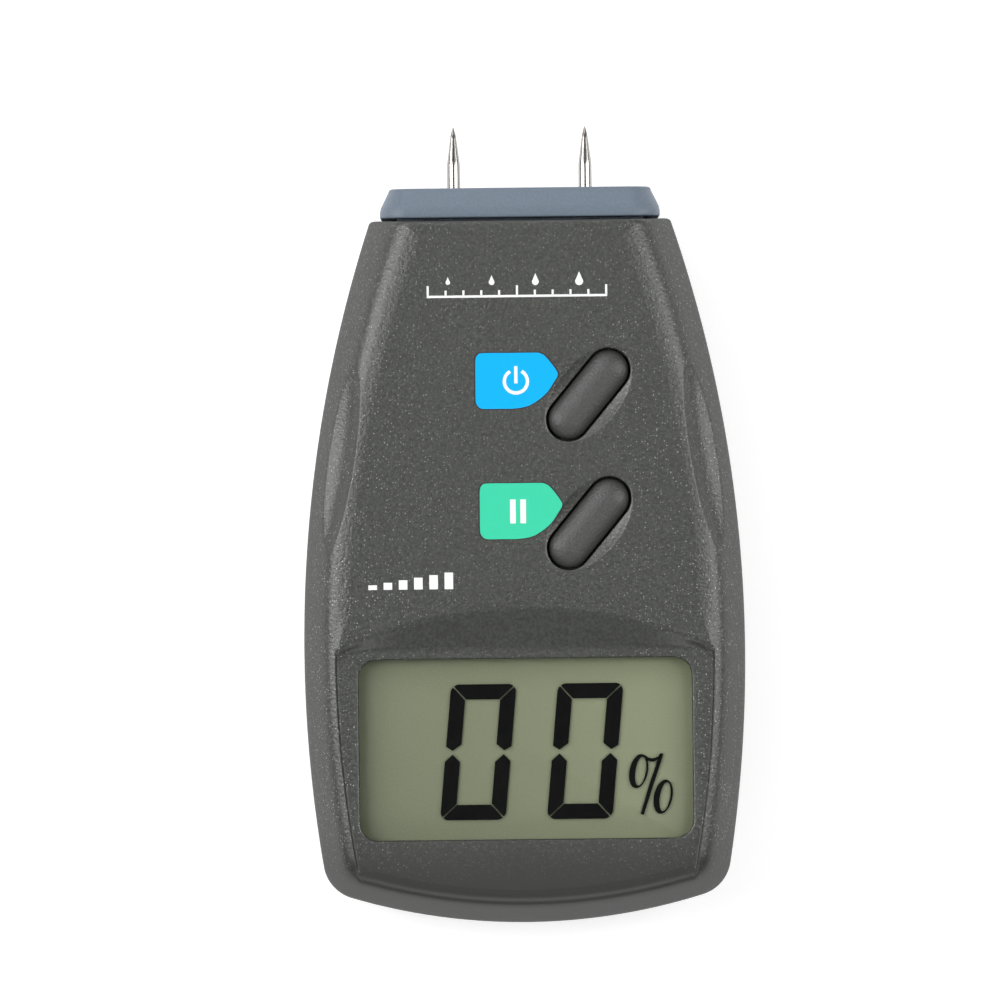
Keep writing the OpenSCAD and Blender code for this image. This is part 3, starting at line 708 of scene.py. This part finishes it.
finished(front_case(), "meter", "case_plastic", "front_case")
finished(back_case(), "meter", "case_plastic", "back_case")
finished(battery_bay(), "meter", "case_plastic")
finished(battery_door(), "door", "case_plastic", "battery_door")


# ---------------------------------------------------------------- head and pins
HEAD_Z = 14.6
HEAD_GAP = 0.3
head_high = node_box("electrode_head")[1]
HEAD_TOP = head_high[1] - LOWER_END
BASE_Y = CASE_L + HEAD_GAP


def head_ring(w, h, r, y):
    loop = rounded_rect(0, 0, w, h, r, 14)
    return np.column_stack([loop[:, 0], np.full(len(loop), y), HEAD_Z + loop[:, 1]])


def electrode_head():
    shape = Shape()
    rings = []
    for turn in np.radians([0, 30, 60, 90]):
        shrink = 0.25 * (1 - math.sin(turn))
        rings.append(head_ring(42.4 - 2 * shrink, 21.6 - 2 * shrink, 4 - shrink,
                               BASE_Y + 0.25 * (1 - math.cos(turn))))
    rings.append(head_ring(42.38, 21.58, 4, BASE_Y + 0.9))
    top_w, top_h, edge = 39.8, 19.0, 0.5
    for t in np.linspace(0, 1, 8):
        rings.append(head_ring(lerp(42.1, top_w, t), lerp(21.3, top_h, t), lerp(4, 3.6, t),
                               lerp(BASE_Y + 1.6, HEAD_TOP - edge, t)))
    for turn in np.radians([22, 45, 67, 90]):
        shrink = edge * (1 - math.cos(turn))
        rings.append(head_ring(top_w - 2 * shrink, top_h - 2 * shrink, 3.6 - shrink,
                               HEAD_TOP - edge + edge * math.sin(turn)))
    shape.rings(rings, True, True)
    shape.block((-18.7, CASE_L - 2.6, 6.5), (18.7, BASE_Y + 0.5, 19.5))
    shape.block((-19.6, CASE_L - 3.6, 5.6), (19.6, CASE_L - 2.5, 20.4))
    return add_mesh("electrode_block", shape.verts, shape.faces, LOOKS["head_plastic"], 40)


def pin(side):
    pin_high = node_box("electrode_pin_right")[1]
    root, tip = HEAD_TOP, pin_high[1] - LOWER_END
    r = 1.025
    profile = [(0.02, CASE_L - 7.8), (1.1, CASE_L - 7.8), (1.25, CASE_L - 7.6), (1.25, CASE_L - 1.6),
               (1.5, CASE_L - 1.6), (1.5, root + 0.01), (r, root + 0.01), (r, root + 3.6)]
    profile += [(r - 0.02, root + 3.9)]
    taper = tip - 1.2 - (root + 3.9)
    profile += [(lerp(r - 0.02, 0.42, t), root + 3.9 + taper * t) for t in np.linspace(0.1, 1, 8)]
    profile += [(0.36, tip - 1.0), (0.2, tip - 0.45), (0.07, tip - 0.04), (0.02, tip)]
    turn = np.linspace(0, 2 * math.pi, 56, endpoint=False)
    shape = Shape()
    shape.rings([np.column_stack([side * 10 + q * np.cos(turn), np.full(56, y), HEAD_Z + q * np.sin(turn)])
                 for q, y in profile], True, True)
    return add_mesh("needle_left" if side < 0 else "needle_right", shape.verts, shape.faces, LOOKS["pin_steel"], 30)


finished(electrode_head(), "meter", "head_plastic", "electrode_head")
finished(pin(-1), "meter", "pin_steel", "electrode_pin_left")
finished(pin(1), "meter", "pin_steel", "electrode_pin_right")


# ---------------------------------------------------------------- buttons
def button(name):
    low, high = node_box(name + "_button")
    bottom, top = low[2], high[2]
    crown, flange = 1.8, 0.9
    rings = []

    def level(inset, z):
        loop = pill(BUTTON_L - 2 * inset, BUTTON_W - 2 * inset)
        x, y = from_button(loop[:, 0], loop[:, 1], BUTTONS[name])
        rings.append(np.column_stack([x, y, np.full(len(loop), z)]))
    level(-0.8, bottom)
    level(-0.8, bottom + flange)
    level(0, bottom + flange)
    for z in np.linspace(bottom + flange + 0.4, top - crown, 5):
        level(0, z)
    for turn in np.radians(np.arange(5, 86, 4)):
        level(BUTTON_W / 2 * (1 - math.cos(turn)), top - crown + crown * math.sin(turn))
    level(BUTTON_W / 2 - 0.03, top)
    shape = Shape()
    shape.rings(rings, True, True)
    return add_mesh(name + "_cap", shape.verts, shape.faces, LOOKS["button_rubber"], 45)


finished(button("power"), "power_key", "button_rubber", "power_button")
finished(button("hold"), "hold_key", "button_rubber", "hold_button")


# ---------------------------------------------------------------- display
def slab_with_edge(name, loop_at, low, high, edge, slot):
    """Plate whose upper edge is rounded; loop_at(inset) gives its outline."""
    shape = Shape()
    rings = [np.column_stack([loop_at(0), np.full(len(loop_at(0)), low)])]
    for turn in np.radians([0, 30, 60, 90]):
        loop = loop_at(edge * (1 - math.cos(turn)))
        rings.append(np.column_stack([loop, np.full(len(loop), high - edge * (1 - math.sin(turn)))]))
    shape.rings(rings, True, True)
    return add_mesh(name, shape.verts, shape.faces, LOOKS[slot], 30)


PANE_Y = 26.6
PANE_EDGE = 0.1


def pane_outline(inset):
    return rounded_rect(0, PANE_Y, 52.2 - 2 * inset, 29.8 - 2 * inset, 1 - inset)


def panel_outline(inset):
    return rounded_rect(0, PANE_Y, 51.8 - 2 * inset, 30 - 2 * inset, 0.3)


pane = slab_with_edge("display_pane", pane_outline, pane_low[2], pane_high[2], PANE_EDGE, "window_clear")
finished(pane, "meter", "window_clear", "display_window")

glass_low, glass_high = node_box("lcd_glass")
GLASS_TOP = glass_high[2] - 0.4
SEGMENT_Z = glass_high[2] - 0.12
SEGMENT_T = 0.06
glass = slab_with_edge("display_panel", panel_outline, glass_low[2], GLASS_TOP, PANE_EDGE, "lcd_panel")
finished(glass, "meter", "lcd_panel", "lcd_glass")

DIGIT_W, DIGIT_H, STROKE, CORNER, SPLIT = 9.9, 20.5, 2.3, 1.1, 0.15
SLANT = math.tan(math.radians(5.3))


def corner_arc(x, y, start, end, dx=0.0, dy=0.0):
    turn = np.radians(np.linspace(start, end, 6))
    return [(x + dx + CORNER * math.cos(t), y + dy + CORNER * math.sin(t)) for t in turn]


def digit_zero():
    """The six lit segments of a nought, standing upright with its lower left corner at the origin."""
    w, h, s, r, g = DIGIT_W, DIGIT_H, STROKE, CORNER, SPLIT
    m = h / 2
    top = [(s + g, h - s), (w - s - g, h - s)]
    top += corner_arc(w - r, h - r, 45, 90, -g) + corner_arc(r, h - r, 90, 135, g)
    bottom = [(w - s - g, s), (s + g, s)]
    bottom += corner_arc(r, r, 225, 270, g) + corner_arc(w - r, r, 270, 315, -g)
    upper = [(s, h - s - g), (s, m + 1.2), (s * 0.45, m + 0.22), (0, m + 0.85)]
    upper += corner_arc(r, h - r, 180, 135, 0, -g)
    lower = [(s, s + g), (s, m - 1.5), (s * 0.48, m - 0.35), (0, m - 1.4)]
    lower += corner_arc(r, r, 180, 225, 0, g)
    right_upper = [(w - x, y) for x, y in upper]
    right_lower = [(w - x, y) for x, y in lower]
    return [top, bottom, upper, lower, right_upper, right_lower]


def wound(plate):
    """The outline of a plate, counter-clockwise."""
    area = sum(a[0] * b[1] - b[0] * a[1] for a, b in zip(plate, plate[1:] + plate[:1]))
    return plate if area > 0 else plate[::-1]


def slanted(points, x, y):
    return [(x + px + SLANT * py, y + py) for px, py in points]


def stroke_path(points, widths):
    """Flat brush stroke along given points."""
    p = np.array(points, float)
    t = np.gradient(p, axis=0)
    t /= np.linalg.norm(t, axis=1)[:, None]
    n = np.column_stack([-t[:, 1], t[:, 0]]) * (np.array(widths)[:, None] / 2)
    return (p + n).tolist() + (p - n)[::-1].tolist()


def segments():
    shape = Shape()
    plates = []
    for x in (-13.1, 3.05):
        plates += [slanted(s, x, 15.85) for s in digit_zero()]
    for x, y in ((17.0, 22.95), (20.65, 19.05)):
        turn = np.linspace(0, 2 * math.pi, 48, endpoint=False)
        lean, a, b = 0.16, 1.42, 2.58
        outer = np.column_stack([x + a * np.cos(turn) + lean * b * np.sin(turn), y + b * np.sin(turn)])
        inner = np.column_stack([x + 0.28 + (a - 0.64) * np.cos(turn) + lean * (b - 0.4) * np.sin(turn),
                                 y + (b - 0.4) * np.sin(turn)])
        low, high = SEGMENT_Z, SEGMENT_Z + SEGMENT_T
        section = ((outer, low), (outer, high), (inner, high), (inner, low), (outer, low))
        shape.rings([np.column_stack([loop, np.full(len(loop), z)]) for loop, z in section])
    plates.append(stroke_path([(20.5, 25.55), (18.9, 20.95), (17.45, 16.4)], [0.55, 0.62, 0.5]))
    plates.append(stroke_path([(17.7, 25.35), (18.4, 24.75), (19.2, 24.6), (20.0, 24.95), (20.6, 25.6)],
                              [0.3, 0.5, 0.55, 0.4, 0.15]))
    for plate in plates:
        shape.plate(wound(plate), SEGMENT_Z, SEGMENT_Z + SEGMENT_T)
    return add_mesh("display_segments", shape.verts, shape.faces, LOOKS["black_plastic"], 30)


digits = finished(segments(), "meter", "black_plastic")
digits.data.materials[0] = SEGMENT_INK


# ---------------------------------------------------------------- prints on the face
def smooth_loop(points, steps=6):
    """Closed smooth curve through given points."""
    p = np.array(points, float)
    out = []
    for i in range(len(p)):
        a, b, c, d = p[i - 1], p[i], p[(i + 1) % len(p)], p[(i + 2) % len(p)]
        for t in np.arange(steps) / steps:
            out.append(0.5 * (2 * b + (c - a) * t + (2 * a - 5 * b + 4 * c - d) * t * t
                              + (3 * b - a - 3 * c + d) * t ** 3))
    return np.array(out)


def tag_loop(x, y, grow=0.0):
    """Label with a blunt point towards its button."""
    corners = [(0.0, 1.5), (0.12, 0.75), (0.55, 0.2), (1.3, 0.0), (3.5, 0.0), (5.9, 0.02), (8.2, 0.5),
               (10.5, 2.1), (11.9, 4.05), (12.4, 5.0), (12.15, 5.8), (10.75, 7.65), (9.9, 8.25), (9.0, 8.4),
               (5.0, 8.4), (1.1, 8.4), (0.35, 8.1), (0.03, 7.3), (0.0, 4.5)]
    loop = smooth_loop(corners, 5)
    centre = np.array([6.0, 4.2])
    loop = centre + (loop - centre) * (1 + grow / 4.5)
    return loop + [x, y]


INK, INK_ROOT = 0.04, 0.02


def tag(name, x, y, slot, grow=0.0, thick=INK):
    shape = Shape()
    shape.plate(tag_loop(x, y, grow).tolist(), CASE_T - INK_ROOT, CASE_T + thick)
    return add_mesh(name, shape.verts, shape.faces, LOOKS[slot], 30)


def band(points, width):
    """Closed band of even width along an open path."""
    return stroke_path(points, [width] * len(points))


def arc_path(x, y, r, start, end, count=20):
    turn = np.radians(np.linspace(start, end, count))
    return [(x + r * math.cos(t), y + r * math.sin(t)) for t in turn]


def icon(name, plates, z, slot="print_white"):
    shape = Shape()
    for plate in plates:
        shape.plate(wound(plate), z - INK_ROOT, z + INK)
    return add_mesh(name, shape.verts, shape.faces, LOOKS[slot], 30)


def rect(x, y, w, h):
    return [(x, y), (x + w, y), (x + w, y + h), (x, y + h)]


def drop(x, y, size):
    """Droplet with its point up."""
    turn = np.radians(np.linspace(-220, 40, 30))
    r = 0.62 * size
    return [(x + r * math.cos(t), y + r * math.sin(t)) for t in turn] + [(x, y + 1.55 * size)]


TAGS = {"power": (-7.0, 77.9, "print_blue"), "hold": (-6.55, 58.25, "print_green")}
EDGE_WIDTH = 0.16
for name, (x, y, slot) in TAGS.items():
    finished(tag(name + "_tag_edge", x, y, "black_plastic", EDGE_WIDTH, INK / 2), "meter", "black_plastic")
for name, (x, y, slot) in TAGS.items():
    finished(tag(name + "_tag", x, y, slot), "meter", slot)
power_icon = [band(arc_path(-0.9, 82.0, 1.75, 120, 420), 0.5), rect(-1.15, 81.7, 0.5, 2.6)]
finished(icon("power_icon", power_icon, CASE_T + INK), "meter", "print_white")
hold_icon = [rect(-2.0, 60.6, 0.85, 3.6), rect(-0.45, 60.6, 0.85, 3.6)]
finished(icon("hold_icon", hold_icon, CASE_T + INK), "meter", "print_white")

# Row of droplets that grow along a ruled scale, and small rising bars
scale_marks = [rect(-14.2, 94.7, 27.2, 0.35)]
for i in range(11):
    scale_marks.append(rect(-14.2 + 2.69 * i, 95.0, 0.32, 1.5 if i % 5 == 0 else 0.8))
for i in range(4):
    scale_marks.append(drop(-11.0 + 6.6 * i, 97.0, 0.55 + 0.14 * i))
finished(icon("moisture_scale", scale_marks, CASE_T), "meter", "print_white")
bars = [rect(-23.5 + 2.3 * i, 50.8, 1.3, 0.7 + 0.36 * i) for i in range(6)]
finished(icon("level_bars", bars, CASE_T), "meter", "print_white")


# ---------------------------------------------------------------- inside
def foam_pad():
    low, high = node_box("battery_foam")
    low[1] -= LOWER_END
    high[1] -= LOWER_END
    cx, cy = (low[:2] + high[:2]) / 2
    w, h = (high - low)[:2]

    shape = Shape()
    rings = []
    for turn in np.radians([-90, -60, -30, 0, 30, 60, 90]):
        inset = 0.28 * (1 - math.cos(turn))
        loop = rounded_rect(cx, cy, w - 2 * inset, h - 2 * inset, 1.2 - inset)
        z = (low[2] + high[2]) / 2 + (high[2] - low[2]) / 2 * math.sin(turn)
        rings.append(np.column_stack([loop, np.full(len(loop), z)]))
    shape.rings(rings, True, True)
    return add_mesh("foam_pad", shape.verts, shape.faces, LOOKS["foam_grey"], 50)


pad = finished(foam_pad(), "meter", "foam_grey", "battery_foam")

SHOWN = {
    "plated_steel": ["pin_nuts", "battery_terminals", "snap_contacts", "case_screws", "board_screws"],
    "terminal_brass": ["ring_terminals"],
    "lead_white": ["electrode_lead_left"],
    "lead_black": ["electrode_lead_right", "battery_lead_black"],
    "lead_red": ["battery_lead_red"],
    "reflector": ["lcd_reflector"],
    "black_plastic": ["lcd_frame", "controller_chip", "power_switch", "hold_switch", "power_plunger",
                      "hold_plunger"],
    "black_rubber": ["zebra_strip_upper", "zebra_strip_lower"],
    "board_green": ["circuit_board"],
    "component_tan": ["board_components"],
    "battery_can": ["battery"],
    "snap_vinyl": ["battery_snap"],
}
for slot, names in SHOWN.items():
    for name in names:
        obj = nodes[name]
        obj.data.materials.clear()
        obj.data.materials.append(LOOKS[slot])


# ---------------------------------------------------------------- studio
CAMERA_HEIGHT, VIEW_WIDTH, CAMERA_ROLL = 1.6, 0.1523, -0.65
WORLD_TOP, WORLD_SIDE = 0.3, 0.6
WORLD_STRENGTH = 0.35
FLOOR_GLOW, FLOOR_SHADE = 0.6, 0.62
FLOOR_HALF = 4.0


def camera():
    data = bpy.data.cameras.new("camera")
    cam = bpy.data.objects.new("camera", data)
    bpy.context.scene.collection.objects.link(cam)
    bpy.context.scene.camera = cam
    data.sensor_width = 36
    data.lens = data.sensor_width * (CAMERA_HEIGHT - PART_Z * MM) / VIEW_WIDTH
    data.clip_end = 20
    cam.location = (-0.0035, 0.0037, CAMERA_HEIGHT)
    cam.rotation_euler = (0, 0, math.radians(CAMERA_ROLL))


def softbox(name, location, size, power, target=(0, 0, 0.015)):
    data = bpy.data.lights.new(name, "AREA")
    data.shape = "RECTANGLE"
    data.size, data.size_y = size
    data.energy = power
    lamp = bpy.data.objects.new(name, data)
    lamp.location = location
    lamp.rotation_euler = (Vector(target) - Vector(location)).to_track_quat("-Z", "Y").to_euler()
    bpy.context.scene.collection.objects.link(lamp)


def studio_world():
    """White room that is darker straight overhead, where the camera stands."""
    world = bpy.data.worlds.new("studio")
    world.use_nodes = True
    tree = world.node_tree
    shade = tree.nodes["Background"]
    height = node(tree, "SeparateXYZ", {0: node(tree, "TexCoord").outputs["Generated"]}).outputs[2]
    ramp = node(tree, "ValToRGB", {0: height})
    steps = ramp.color_ramp.elements
    steps[0].position, steps[0].color = 0.0, (0.3, 0.3, 0.3, 1)
    steps[1].position, steps[1].color = 1.0, (*[WORLD_TOP] * 3, 1)
    for position, value in ((0.3, WORLD_SIDE), (0.8, WORLD_SIDE), (0.93, WORLD_TOP)):
        step = steps.new(position)
        step.color = (value, value, value, 1)
    tree.links.new(ramp.outputs[0], shade.inputs["Color"])
    shade.inputs["Strength"].default_value = WORLD_STRENGTH
    bpy.context.scene.world = world


def floor():
    mesh = bpy.data.meshes.new("floor")
    s = FLOOR_HALF
    mesh.from_pydata([(-s, -s, 0), (s, -s, 0), (s, s, 0), (-s, s, 0)], [], [[0, 1, 2, 3]])
    material, tree, shader = new_material("floor_white", 0.8, 0, 0.1)
    tinted(tree, shader, (FLOOR_SHADE,) * 3, 0.01, noise(tree, place(tree), 40))
    shader.inputs["Emission Color"].default_value = (1, 1, 1, 1)
    shader.inputs["Emission Strength"].default_value = FLOOR_GLOW
    mesh.materials.append(material)
    obj = bpy.data.objects.new("floor", mesh)
    bpy.context.scene.collection.objects.link(obj)


camera()
softbox("top_softbox", (-0.3, 0.85, 0.75), (0.9, 0.5), 3.6)
softbox("low_softbox", (0, -0.8, 0.75), (0.8, 0.4), 1.6)
softbox("left_softbox", (-0.72, 0.15, 0.82), (0.45, 1.0), 8)
softbox("right_softbox", (0.72, 0.1, 0.82), (0.45, 1.0), 6.2)
studio_world()
floor()
bpy.context.scene.view_settings.view_transform = "Standard"
